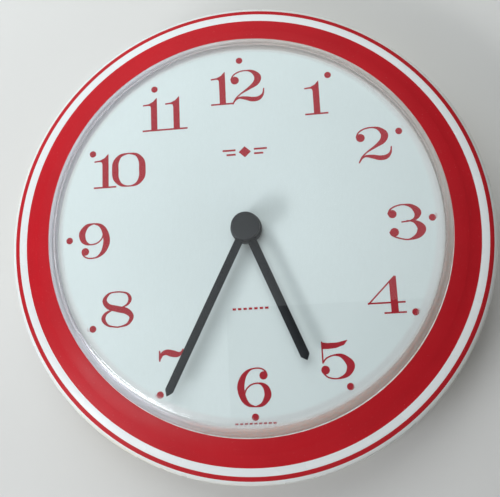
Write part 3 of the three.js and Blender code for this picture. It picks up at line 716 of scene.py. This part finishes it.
def crystal_dome():
    top = CRYSTAL_TOP
    corners = [
        (0, top - 2, 0),
        (99.1, top - 2, 9),
        (99.1, 28.1, 0.05),
        (98.9, 28, 0.05),
        (98.9, 27.1, 0.1),
        (100.1, 27.1, 0.1),
        (100.1, 25.6, 0.1),
        (FLANGE_RADIUS, 25.6, 0.2),
        (FLANGE_RADIUS, 27, 0.2),
        (101.7, 27, 0.1),
        (101.1, top, 11),
        (0, top, 0),
    ]
    dome = turned("crystal_dome", corners, (CLEAR,), ROUND, closed=False, steps=14)
    finish_piece(dome, "case", "clear_plastic", "crystal")


def rear_cover():
    corners = [
        (4.3, 24.4, 0.1), (4.3, 26.4, 0.1), (99.9, 26.4, 0.1), (99.9, 25.5, 0.1),
        (106.8, 25.5, 0.3), (106.8, 20, 0.5), (118.5, 20, 0.3), (118.5, 18, 0.6),
        (104.8, 18, 1.4), (104.8, 23.5, 0.8), (97.6, 23.5, 0.6), (96.6, 24.4, 0.6),
    ]
    cover = turned("rear_cover", corners, (REAR_WHITE,), 192)
    ring_rib = turned("rib", [(62, 22, 0.3), (63.5, 22, 0.3), (63.5, 24.8, 0),
                              (62, 24.8, 0)], (), 192)
    ribs = [turn_about_shaft(flat_rib(44, 103, 0.7, 22, 24.8), angle) for angle in RIB_ANGLES]
    bosses = [cylinder("boss", *place, 3, 20.2, 24.8) for place in BRACKET_SCREWS]
    bores = [cylinder("bore", *place, 1.1, 18, 25.6) for place in BRACKET_SCREWS]
    bores += [cylinder("hole", *place, 1.7, 17, 21) for place in CASE_SCREWS]
    ejectors = [cylinder("ejector", *polar(84 if k % 2 else 53, 22.5 * k + 6), 2.6, 24.3, 24.52,
                         32) for k in range(16)]
    boolean(cover, "UNION", [ring_rib, join_objects(ribs), join_objects(bosses)])
    boolean(cover, "DIFFERENCE", [join_objects(bores), join_objects(ejectors)])
    cover.data.set_sharp_from_angle(angle=EDGE_ANGLE)
    flatten_levels(cover)
    finish_piece(cover, "case", "white_plastic", "back_plate")


def flatten_levels(piece):
    """Shades the faces that look straight forwards or backwards as true flats."""
    for face in piece.data.polygons:
        if abs(face.normal.y) > 0.9995:
            face.use_smooth = False


def flat_rib(near, far, half, low, high):
    """A radial rib whose rear edge is rounded over."""
    section = [(-half, high), (-half, low + 0.3), (-half + 0.3, low), (half - 0.3, low),
               (half, low + 0.3), (half, high)]
    return extruded("rib", [(near, y, z) for y, z in section], [(far, y, z) for y, z in section])


def bracket():
    """The raised bridge with the keyhole that the nail holds."""
    half, low, high = 13, 74, 101
    plate = flat_piece("keyhole_bridge", [rounded_rectangle(-half, low, half, high, 1.2)],
                       3, 5, (REAR_WHITE,), holes=[
                           disc(0, 82, 5, 64),
                           rounded_rectangle(-2.5, 80, 2.5, 94.5, 2.49, 16)])
    parts = []
    for side in (-1, 1):
        x0, x1 = sorted((side * 11, side * half))
        parts.append(box("leg", (x0, low + 0.2, 3.4), (x1, high - 0.2, 19.9)))
        f0, f1 = sorted((side * 11, side * 22))
        foot = flat_piece("foot", [rounded_rectangle(f0, 84, f1, 98, 1.2)], 18, 20, (),
                          holes=[disc(side * 17.5, 91, 1.4, 32)])
        parts.append(foot)
    boolean(plate, "UNION", parts)
    soften(plate, 0.3, 50)
    finish_piece(plate, "case", "white_plastic", "hanger_bracket")


def screw(name, node, place, head_radius, shank_radius, length):
    """A cross-head screw seen from behind, its head's underside at the screw seat."""
    x, y = place
    seat = SCREW_SEAT
    head = seat - 1.8
    corners = [
        (0, head, 0), (head_radius - 0.2, head, 0.9), (head_radius, head + 0.9, 0.3),
        (head_radius, seat, 0.1), (shank_radius, seat, 0.05),
        (shank_radius, seat + length - 1, 0), (0, seat + length, 0),
    ]
    piece = turned(name, corners, (ZINC,), 40, False, 4,
                   place=lambda px, py, pz: (px + x, py + y, pz))
    arm = head_radius * 0.58
    cross = flat_piece("cross", [[(-arm, -0.3), (arm, -0.3), (arm, 0.3), (-arm, 0.3)],
                                 [(-0.3, -arm), (0.3, -arm), (0.3, arm), (-0.3, arm)]],
                       head - 1, head + 0.9, ())
    cross.data.transform(Matrix.Translation(world(x, y, 0) - world(0, 0, 0)))
    boolean(piece, "DIFFERENCE", [cross])
    piece.data.set_sharp_from_angle(angle=EDGE_ANGLE)
    finish_piece(piece, "case", "steel", node)


# ---- dial and its print

PRINT_LOW = DIAL_FACE - 0.02
PRINT_HIGH = DIAL_FACE + 0.045
NUMBER_HEIGHT = 18.6
NUMBER_CIRCLE = 78.6
DOT_CIRCLE = 92.6
DOT_RADIUS = 1.75

# Strokes of each figure: the pen's (x, y, half width) along it, in thousandths of the
# figure's height, from its lower left corner. A ball is a round end, a slab a
# straight-sided area.
FIGURES = {
    "0": dict(strokes=[
        [(485, 982, 18), (260, 930, 45), (115, 740, 85), (95, 500, 95), (115, 260, 85),
         (260, 70, 45), (485, 18, 18), (710, 70, 45), (855, 260, 85), (875, 500, 95),
         (855, 740, 85), (710, 930, 45), (485, 982, 18)],
    ]),
    "1": dict(slabs=[
        [(260, 20), (440, 20), (440, 1000), (260, 760)],
        [(10, 0), (660, 0), (660, 48), (10, 48)],
        [(30, 775), (170, 785), (235, 775), (260, 720), (300, 720), (440, 1000), (420, 1000),
         (330, 900), (200, 835), (30, 818)],
    ]),
    "2": dict(strokes=[
        [(21, 741, 10), (87, 871, 11), (245, 965, 13), (455, 993, 18), (647, 944, 50),
         (787, 776, 98), (734, 601, 85), (542, 455, 45), (297, 304, 22), (140, 164, 14),
         (52, 7, 12)],
        [(52, 14, 12), (140, 125, 20), (250, 178, 32), (437, 150, 56), (612, 105, 68),
         (787, 122, 62), (909, 235, 32), (944, 400, 13)],
    ], balls=[(129, 713, 118)]),
    "3": dict(strokes=[
        [(23, 755, 10), (84, 872, 11), (235, 956, 13), (436, 987, 18), (654, 933, 55),
         (802, 765, 97), (745, 604, 55), (597, 534, 22), (369, 513, 13)],
        [(503, 537, 13), (671, 513, 35), (805, 420, 85), (869, 285, 115), (755, 117, 75),
         (503, 27, 18), (235, 84, 12), (74, 168, 11), (34, 252, 10)],
    ], balls=[(134, 745, 113), (150, 245, 117)]),
    "4": dict(strokes=[
        [(740, 980, 16), (380, 627.5, 16), (20, 275, 16)],
    ], slabs=[
        [(595, 20), (785, 20), (785, 1000), (595, 830)],
        [(0, 268), (980, 268), (980, 312), (0, 312)],
        [(410, 0), (990, 0), (990, 46), (410, 46)],
    ]),
    "5": dict(strokes=[
        [(57, 965, 13), (57, 700, 13), (57, 430, 13)],
        [(63, 437, 12), (157, 545, 14), (350, 615, 20), (560, 587, 55), (741, 413, 100),
         (762, 273, 100), (647, 98, 60), (402, 15, 18), (175, 56, 12), (42, 185, 11)],
    ], slabs=[
        [(42, 965), (63, 787), (210, 780), (420, 797), (630, 867), (727, 980), (727, 997),
         (455, 937), (210, 937)],
    ], balls=[(112, 245, 112)]),
    "6": dict(strokes=[
        [(790, 800, 11), (755, 900, 12), (650, 975, 13), (500, 993, 16), (340, 955, 30),
         (190, 820, 65), (100, 600, 92), (100, 400, 92), (170, 190, 75), (290, 60, 45),
         (460, 12, 16)],
        [(460, 12, 16), (650, 70, 55), (785, 270, 90), (760, 460, 80), (660, 570, 45),
         (530, 605, 16), (370, 575, 13), (240, 470, 12), (190, 360, 10)],
    ], balls=[(698, 799, 107)]),
    "7": dict(strokes=[
        [(30, 700, 22), (35, 820, 28), (30, 950, 18)],
        [(40, 760, 30), (100, 870, 50), (220, 915, 75), (360, 880, 90), (500, 850, 75),
         (600, 880, 40), (660, 975, 12)],
        [(660, 960, 12), (600, 720, 30), (500, 420, 55), (380, 150, 70), (350, 20, 75)],
    ]),
    "8": dict(strokes=[
        [(530, 982, 14), (265, 954, 25), (117, 777, 58), (212, 600, 75), (477, 512, 85),
         (724, 442, 85), (859, 283, 62), (742, 88, 35), (477, 20, 14)],
        [(477, 20, 14), (212, 78, 30), (81, 247, 58), (152, 406, 40), (336, 495, 18)],
        [(530, 982, 14), (742, 926, 30), (823, 777, 48), (760, 636, 32), (618, 558, 15)],
    ]),
}

# Where each number's middle lies off its place on the circle, in millimetres.
NUMBER_NUDGES = {
    12: (-1.6, -1.1), 2: (-0.9, 0.8), 3: (1.3, -1.6), 4: (-1.3, 2.1), 5: (1.7, 0.9), 7: (-1.1, 0.7),
    8: (0.6, 2.3), 9: (-0.8, -0.7), 10: (2.3, -2.9), 11: (-1.7, -2.2),
}
PAIR_WIDTHS = {10: 27.9, 11: 24.2, 12: 28.7}
PEN = 0.02    # the thinnest hairline's half width, in figure heights


def smooth_line(points, steps=7):
    """Points along a Catmull-Rom curve through (x, y, half width) points."""
    ends = [points[0], *points, points[-1]]
    line = []
    for i in range(len(points) - 1):
        a, b, c, d = (Vector(p) for p in ends[i:i + 4])
        for step in range(steps):
            t = step / steps
            line.append(0.5 * (2 * b + (c - a) * t + (2 * a - 5 * b + 4 * c - d) * t ** 2
                               + (3 * b - a - 3 * c + d) * t ** 3))
    line.append(Vector(points[-1]))
    return line


def pen_outlines(points):
    """The area a pen of changing width covers, as small convex outlines."""
    line = smooth_line(points)
    edges = []
    for i, p in enumerate(line):
        ahead = line[min(i + 1, len(line) - 1)]
        behind = line[max(i - 1, 0)]
        along = Vector((ahead.x - behind.x, ahead.y - behind.y)).normalized()
        side = Vector((-along.y, along.x)) * max(p.z, PEN)
        edges.append(((p.x + side.x, p.y + side.y), (p.x - side.x, p.y - side.y)))
    outlines = [hull([*a, *b]) for a, b in zip(edges, edges[1:])]
    for p in (line[0], line[-1]):
        outlines.append(disc(p.x, p.y, max(p.z, PEN), 16))
    return [o for o in outlines if len(o) > 2]


def in_heights(points):
    """Thousandths of a figure's height as parts of it."""
    return [tuple(value / 1000 for value in point) for point in points]


def figure_outlines(digit):
    """Outlines of one figure, a unit high. A nine is a six turned over."""
    if digit == "9":
        turned_six = figure_outlines("6")
        right = max(x for o in turned_six for x, _ in o)
        return [[(right - x, 1 - y) for x, y in o] for o in turned_six]
    figure = FIGURES[digit]
    outlines = []
    for stroke in figure.get("strokes", ()):
        outlines += pen_outlines(in_heights(stroke))
    outlines += [disc(*ball, 40) for ball in in_heights(figure.get("balls", ()))]
    outlines += [in_heights(slab) for slab in figure.get("slabs", ())]
    return outlines


def number_outlines(hour):
    """Outlines of a number about its own middle, in millimetres."""
    outlines = []
    figures = [figure_outlines(digit) for digit in str(hour)]
    spans = [(min(x for o in f for x, _ in o), max(x for o in f for x, _ in o))
             for f in figures]
    widths = [NUMBER_HEIGHT * (right - left) for left, right in spans]
    total = PAIR_WIDTHS.get(hour, widths[0])
    starts = [-total / 2, total / 2 - widths[-1]]
    for figure, (left, _), start in zip(figures, spans, starts):
        for outline in figure:
            outlines.append([((x - left) * NUMBER_HEIGHT + start, (y - 0.5) * NUMBER_HEIGHT)
                             for x, y in outline])
    return outlines


def printed(name, outlines):
    """Red ink that stands a little above the dial."""
    piece = flat_piece(name, outlines, PRINT_LOW, PRINT_HIGH, (RED_PRINT,))
    finish_piece(piece, "case", "dial_paper")


def dial():
    corners = [(4.4, DIAL_BACK, 0), (DIAL_RADIUS, DIAL_BACK, 0.05),
               (DIAL_RADIUS, DIAL_FACE, 0.08), (4.4, DIAL_FACE, 0.05)]
    card = turned("dial_card", corners, (DIAL_CARD,), ROUND)
    finish_piece(card, "case", "dial_paper", "dial_sheet")
    for hour in range(1, 13):
        x, y = clock_point(NUMBER_CIRCLE, 30 * hour)
        dx, dy = NUMBER_NUDGES.get(hour, (0, 0))
        outlines = [[(px + x + dx, py + y + dy) for px, py in o] for o in number_outlines(hour)]
        printed(f"printed_number_{hour}", outlines)
    dots = [disc(*clock_point(DOT_CIRCLE, 30 * hour), DOT_RADIUS) for hour in range(12)]
    printed("printed_hour_dots", dots)
    printed("printed_ornament", ornament())
    printed("printed_dashes", dashes())


def bar(left, low, right, high):
    return [(left, low), (right, low), (right, high), (left, high)]


def ornament():
    """A plain lozenge between two tapering pairs of bars, under the twelve."""
    x, y, half = 0.8, 41.4, 3.0
    outlines = [[(x - 3.2, y), (x, y - half), (x + 3.2, y), (x, y + half)]]
    for side in (-1, 1):
        for level, reach in ((1.2, 11.6), (-1.2, 9.6)):
            x0, x1 = sorted((x + side * 4.8, x + side * reach))
            outlines.append(bar(x0, y + level - 0.5, x1, y + level + 0.5))
    return outlines


def dashes():
    """Small even dashes in a row over the six, and a finer row at the foot of the dial."""
    outlines = []
    for k in range(7):
        x = -8.1 + 2.7 * k
        outlines.append(bar(x - 0.85, -40.8, x + 0.85, -39.7))
    for k in range(9):
        x = 2.3 * (k - 4)
        outlines.append(bar(x - 0.75, -96.0, x + 0.75, -95.2))
    return outlines


# ---- hands

def blade_outline(width, reach, point):
    half = width / 2
    return [(-half, 0), (half, 0), (half, reach - point), (0.12, reach - 0.08),
            (-0.12, reach - 0.08), (-half, reach - point)]


def hand(name, node, body, angle, width, reach, point, eye, bore, low, high):
    outline = spin(blade_outline(width, reach, point), angle)
    piece = flat_piece(name, [outline, disc(0, 0, eye, 64)], low, high, (LACQUER,),
                       holes=[disc(0, 0, bore, 48)])
    soften(piece, 0.14, 35)
    finish_piece(piece, body, "hand_black", node)


def hands():
    hand("hour_blade", "hour_hand", "hour_hand_group", HOUR_ANGLE, 4.6, 72, 2.6, 5.6, 2.5,
         31.5, 32)
    hand("minute_blade", "minute_hand", "minute_hand_group", MINUTE_ANGLE, 4.2, 91, 2.8, 5,
         1.62, 33.4, 33.9)
    cup = turned("hour_cup", [(2.65, 30.5, 0.1), (7, 30.5, 0.2), (7, 28.2, 0.1),
                              (7.9, 28.2, 0.15), (7.9, 31.4, 0.35), (2.65, 31.4, 0.1)],
                 (HUB_BLACK,), 96)
    finish_piece(cup, "hour_hand_group", "hub_black", "hour_hand_boss")
    cap = turned("centre_cap", [(0, 35.2, 0), (1.75, 35.2, 0), (1.75, 34, 0),
                                (7.0, 34, 0.1), (7.2, 34.2, 0.1), (7.2, 36.2, 0.45),
                                (0, 36.2, 0)], (HUB_BLACK,), 96, closed=False)
    finish_piece(cap, "minute_hand_group", "hub_black", "minute_hand_cap")


# ---- rear: movement and cell

MOVEMENT_FRONT = 23.4
SETTING_AXIS = (17.6032, 1.0415)


def refined(name, node, body, slot, material, width):
    """A softened copy of a moulded CAD node, for pieces whose shape is already right."""
    source = frame["nodes"][node]
    mesh = source.data.copy()
    mesh.materials.clear()
    mesh.materials.append(material)
    mesh.polygons.foreach_set("material_index", [0] * len(mesh.polygons))
    for layer in list(mesh.attributes):
        if layer.name == "custom_normal":
            mesh.attributes.remove(layer)
    work = bmesh.new()
    work.from_mesh(mesh)
    bmesh.ops.remove_doubles(work, verts=work.verts, dist=2e-6)
    bmesh.ops.dissolve_limit(work, angle_limit=math.radians(0.5), verts=work.verts,
                             edges=work.edges)
    work.to_mesh(mesh)
    work.free()
    piece = placed(name, mesh)
    soften(piece, width, 40)
    flatten_levels(piece)
    finish_piece(piece, body, slot, node)


def cell():
    """A plain two-tone AA cell with its cap at one end and a flat base at the other."""
    end = 25.25
    band, metal_end = 1, 2    # the wrap is 0, which is left out
    corners = [
        (0, -end, 0, metal_end), (6.2, -end, 0.15, metal_end), (6.5, -end + 0.25, 0.1),
        (7.1, -end + 0.3, 0.25), (7.1, -4, 0), (7.1, 12.4, 0, band),
        (7.1, end - 1.2, 0.45, band), (6.2, end - 1.05, 0.1, metal_end),
        (5.6, end - 1.35, 0.15, metal_end), (2.9, end - 1.25, 0.2, metal_end),
        (2.7, end, 0.35, metal_end), (0, end, 0, metal_end),
    ]
    piece = turned("cell", corners, (CELL_WRAP, CELL_BAND, STEEL), 96, False, 4,
                   place=lambda x, y, z: (z + 0.5, y - 19.5, MOVEMENT_FRONT - 9 - x))
    finish_piece(piece, "battery", "cell_wrap", "battery_cell")


def setting_arrows():
    """Two curved arrows moulded round the setting knob, as such movements have."""
    cx, cy = SETTING_AXIS
    outlines = []
    for start in (30, 210):
        arc = [start + 6 * k for k in range(16)]
        for a, b in zip(arc, arc[1:]):
            outlines.append([polar(8.9, a), polar(9.5, a), polar(9.5, b), polar(8.9, b)])
        end = arc[-1]
        outlines.append([polar(8.1, end), polar(10.3, end), polar(9.2, end + 13)])
    outlines = [[(cx + x, cy + y) for x, y in outline] for outline in outlines]
    high = MOVEMENT_FRONT - 16.6
    piece = flat_piece("setting_arrows", outlines, high - 0.18, high + 0.05, (BLACK,))
    finish_piece(piece, "case", "movement_black")


def movement():
    refined("movement_box", "movement_housing", "case", "movement_black", BLACK, 0.25)
    refined("movement_lid", "movement_cover", "case", "movement_black", BLACK, 0.22)
    refined("setting_knob_head", "setting_knob", "setting_knob", "movement_black", BLACK, 0.1)
    refined("cell_spring", "contact_negative", "case", "steel", STEEL, 0.05)
    refined("cell_strip", "contact_positive", "case", "steel", STEEL, 0.05)
    setting_arrows()
    cell()


# ---- stage, lights, camera

STAGE_REACH = 3.0
FLOOR_LEVEL = -0.9
WALL_GAP = 0.0006


def sheet(name, corners, material):
    """A single face of the stage."""
    mesh = bpy.data.meshes.new(name)
    mesh.from_pydata(corners, [], [[0, 1, 2, 3]])
    mesh.materials.append(material)
    return placed(name, mesh)


def stage():
    """A pale wall behind the clock, seen from its front only, and a pale floor below."""
    square = [(-STAGE_REACH, -STAGE_REACH), (STAGE_REACH, -STAGE_REACH),
              (STAGE_REACH, STAGE_REACH), (-STAGE_REACH, STAGE_REACH)]
    wall = sheet("wall", [(x, WALL_GAP, z) for x, z in square], wall_paint("one_sided_wall", True))
    wall.visible_shadow = False
    wall.visible_diffuse = False
    floor = sheet("floor", [(x, y, FLOOR_LEVEL) for x, y in square],
                  wall_paint("pale_wall", False))


MIDDLE = world(0, 0, DIAL_FACE)
WINDOW_POWER = 9.6
GLINT_POWER = 3.0
SKY_POWER = 4.6
CEILING_RADIANCE = 0.46
CEILING_HEIGHT = 1500
FILL_POWER = 4.3
REAR_POWER = 26


def area_light(name, where, size, power, colour, target=MIDDLE, mirrored=True):
    lamp = bpy.data.lights.new(name, "AREA")
    lamp.shape = "RECTANGLE"
    lamp.size, lamp.size_y = size
    lamp.energy = power
    lamp.color = colour
    light = placed(name, lamp)
    light.location = where
    light.rotation_mode = "QUATERNION"
    light.rotation_quaternion = (target - where).to_track_quat("-Z", "Y")
    light.visible_glossy = mirrored
    light.visible_transmission = mirrored
    return light


def from_dial(offset):
    """The place at a bench offset in millimetres from the middle of the dial."""
    return world(offset.x, offset.y, DIAL_FACE + offset.z)


def window(name, middle, spacing, size, power, colour, mirrored=True):
    """Three panes side by side round a point off the dial."""
    across = Vector((-middle.y, middle.x, 0)).normalized()
    return [area_light(f"{name}_{pane + 1}", from_dial(middle + across * pane * spacing), size,
                       power / 3, colour, mirrored=mirrored) for pane in (-1, 0, 1)]


def lights():
    """A window low on the left, its glint and sky round it, a pale ceiling, and soft fills."""
    toward = Vector((-0.70, -0.56, 0.44))
    window("window", toward * 1150, 235, (0.14, 0.5), WINDOW_POWER, (0.97, 0.985, 1.0), False)
    for pane in window("glint", Vector((-0.46, -0.25, 0.85)) * 1200, 68, (0.46, 0.05),
                       GLINT_POWER, (0.93, 0.97, 1.0)):
        pane.visible_diffuse = False
    area_light("sky", from_dial(toward * 1250), (1.1, 0.8), SKY_POWER, (0.80, 0.88, 1.0))
    for name, left, low, right, high in (("ceiling_main", -900, 75, 650, 1300),
                                         ("ceiling_side", -900, -330, -204, 75)):
        x, y = (left + right) / 2, (low + high) / 2
        wide, tall = (right - left) * MM, (high - low) * MM
        power = CEILING_RADIANCE * math.pi * wide * tall
        area_light(name, world(x, y, CEILING_HEIGHT), (wide, tall), power, (0.95, 0.98, 1.0),
                   target=world(x, y, 0))
    area_light("side_fill", from_dial(Vector((-190, 430, 430))), (0.7, 0.7), FILL_POWER,
               (0.92, 0.98, 1.0), mirrored=False)
    area_light("rear_softbox", world(700, 600, -1300), (1.2, 1.2), REAR_POWER, (1.0, 0.99, 0.97))
    sky = bpy.data.worlds.new("soft_white")
    sky.use_nodes = True
    background = sky.node_tree.nodes["Background"]
    background.inputs["Color"].default_value = (0.86, 0.88, 0.9, 1)
    background.inputs["Strength"].default_value = 0.13
    bpy.context.scene.world = sky


def camera():
    data = bpy.data.cameras.new("camera")
    data.lens = 46.8
    data.sensor_width = 36
    data.sensor_fit = "HORIZONTAL"
    data.clip_start = 0.01
    data.clip_end = 20
    view = placed("camera", data)
    where = world(28.4, -73.0, DIAL_FACE + 321.6)
    ahead = (world(1.1, -9.8, DIAL_FACE) - where).normalized()
    up = (world(0.0622, 0.9819, 0.1788) - world(0, 0, 0)).normalized()
    right = ahead.cross(up).normalized()
    up = right.cross(ahead)
    turned_to = Matrix((right, up, -ahead)).transposed()
    view.matrix_world = Matrix.Translation(where) @ turned_to.to_4x4()
    bpy.context.scene.camera = view


CARRIED = (
    (RUBBER, ("rubber_washer",)),
    (BRASS, ("nut_washer", "shaft_nut")),
    (STEEL, ("minute_arbor", "coil_core", "stator", "quartz_can")),
    (NATURAL, ("centre_wheel", "third_wheel", "seconds_wheel", "step_wheel", "rotor_pinion",
               "minute_wheel", "hour_wheel", "train_bridge", "coil_bobbin")),
    (MAGNET, ("rotor_magnet",)),
    (COPPER, ("coil_winding",)),
    (CIRCUIT, ("circuit_board",)),
    (BLACK, ("chip_blob",)),
)


def dress_carried_nodes():
    """Gives the CAD pieces inside the movement their materials."""
    for material, nodes in CARRIED:
        for node in nodes:
            mesh = frame["nodes"][node].data
            mesh.materials.clear()
            mesh.materials.append(material)


case_shell()
crystal_dome()
rear_cover()
bracket()
for number, screw_place in enumerate(CASE_SCREWS, 1):
    screw(f"case_screw_head_{number}", f"case_screw_{number}", screw_place, 2.8, 1.1, 5.8)
for side, screw_place in zip(("left", "right"), BRACKET_SCREWS):
    screw(f"bracket_screw_{side}", f"hanger_screw_{side}", screw_place, 2.4, 0.8, 6.6)
dial()
hands()
movement()
dress_carried_nodes()
stage()
lights()
camera()
bpy.context.scene.view_settings.view_transform = "Standard"
